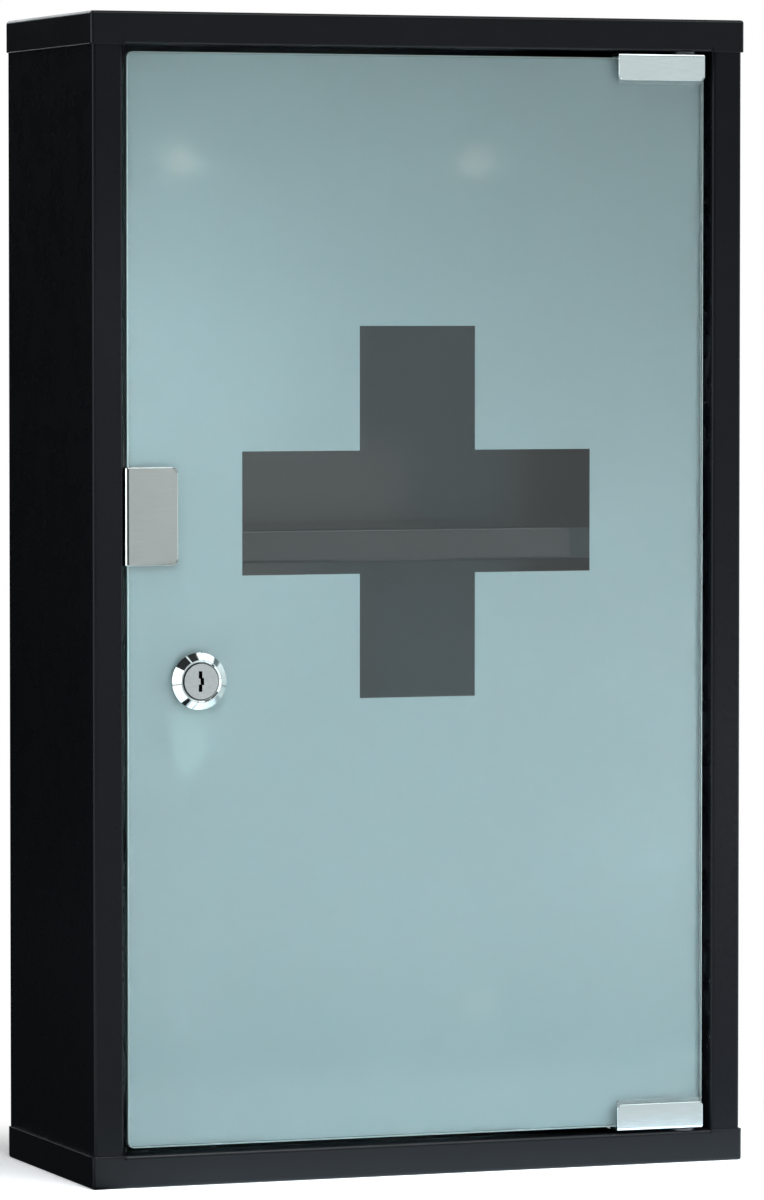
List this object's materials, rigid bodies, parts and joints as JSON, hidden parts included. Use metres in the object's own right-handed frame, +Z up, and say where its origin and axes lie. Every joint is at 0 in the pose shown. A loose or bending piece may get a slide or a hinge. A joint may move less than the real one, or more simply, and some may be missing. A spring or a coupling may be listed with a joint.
{
  "type": "first aid cabinet",
  "caption": "Wall-mounted steel first aid cabinet with two shelves and a frosted glass door with a clear cross, a cam lock, a pull plate and pivot hinge clips.",
  "frame": {"origin": "centre of the four wall holes, on the rear face of the back panel (the wall plane)", "axes": "+X to the right seen from the front, +Y towards the wall, +Z up; the door faces -Y"},
  "size_m": [0.3, 0.1225, 0.5],
  "materials": {
    "powder_coat": "semi-gloss black powder coat",
    "clear_glass": "clear float glass, slightly green, ground edges",
    "frosted_glass": "frosted coating on the back of the glass, pale blue green",
    "chrome": "polished chrome plate",
    "satin_steel": "satin nickel, finely brushed",
    "zinc_steel": "bright zinc plate",
    "black_steel": "black oxide",
    "black_plastic": "moulded nylon",
    "clear_plastic": "clear soft vinyl",
    "black_rubber": "thin rubber",
    "ferrite": "sintered ferrite"
  },
  "bodies": {
    "cabinet": {"left_side": "powder_coat", "right_side": "powder_coat", "back_panel": "powder_coat", "top_cap": "powder_coat", "bottom_cap": "powder_coat", "upper_shelf": "powder_coat", "lower_shelf": "powder_coat", "upper_rail_left": "powder_coat", "upper_rail_right": "powder_coat", "lower_rail_left": "powder_coat", "lower_rail_right": "powder_coat", "shelf_rivets": "zinc_steel", "top_pivot_bush": "black_plastic", "bottom_pivot_bush": "black_plastic", "catch_housing": "black_plastic", "catch_magnet": "ferrite", "catch_pole_plates": "zinc_steel", "catch_screws": "zinc_steel"},
    "door": {"door_glass": "clear_glass", "frosted_coating": "frosted_glass", "top_hinge_clip": "chrome", "bottom_hinge_clip": "chrome", "top_hinge_pin": "zinc_steel", "bottom_hinge_pin": "zinc_steel", "top_clip_liner": "clear_plastic", "bottom_clip_liner": "clear_plastic", "top_grub_screws": "black_steel", "bottom_grub_screws": "black_steel", "handle_clip": "satin_steel", "handle_tape": "clear_plastic", "lock_housing": "chrome", "lock_gasket": "black_rubber", "lock_washer": "zinc_steel", "lock_nut": "zinc_steel"},
    "lock_plug": {"lock_plug": "satin_steel", "lock_cam": "zinc_steel", "cam_screw": "zinc_steel"}
  },
  "joints": [
    {"name": "door_hinge", "type": "hinge", "parent": "cabinet", "child": "door", "pos_m": [0.12335, -0.1145, 0], "axis": [0, 0, 1], "range_deg": [0, 120]},
    {"name": "lock_turn", "type": "hinge", "parent": "door", "child": "lock_plug", "pos_m": [-0.1017, -0.1185, -0.0343], "axis": [0, 1, 0], "range_deg": [0, 90]}
  ]
}
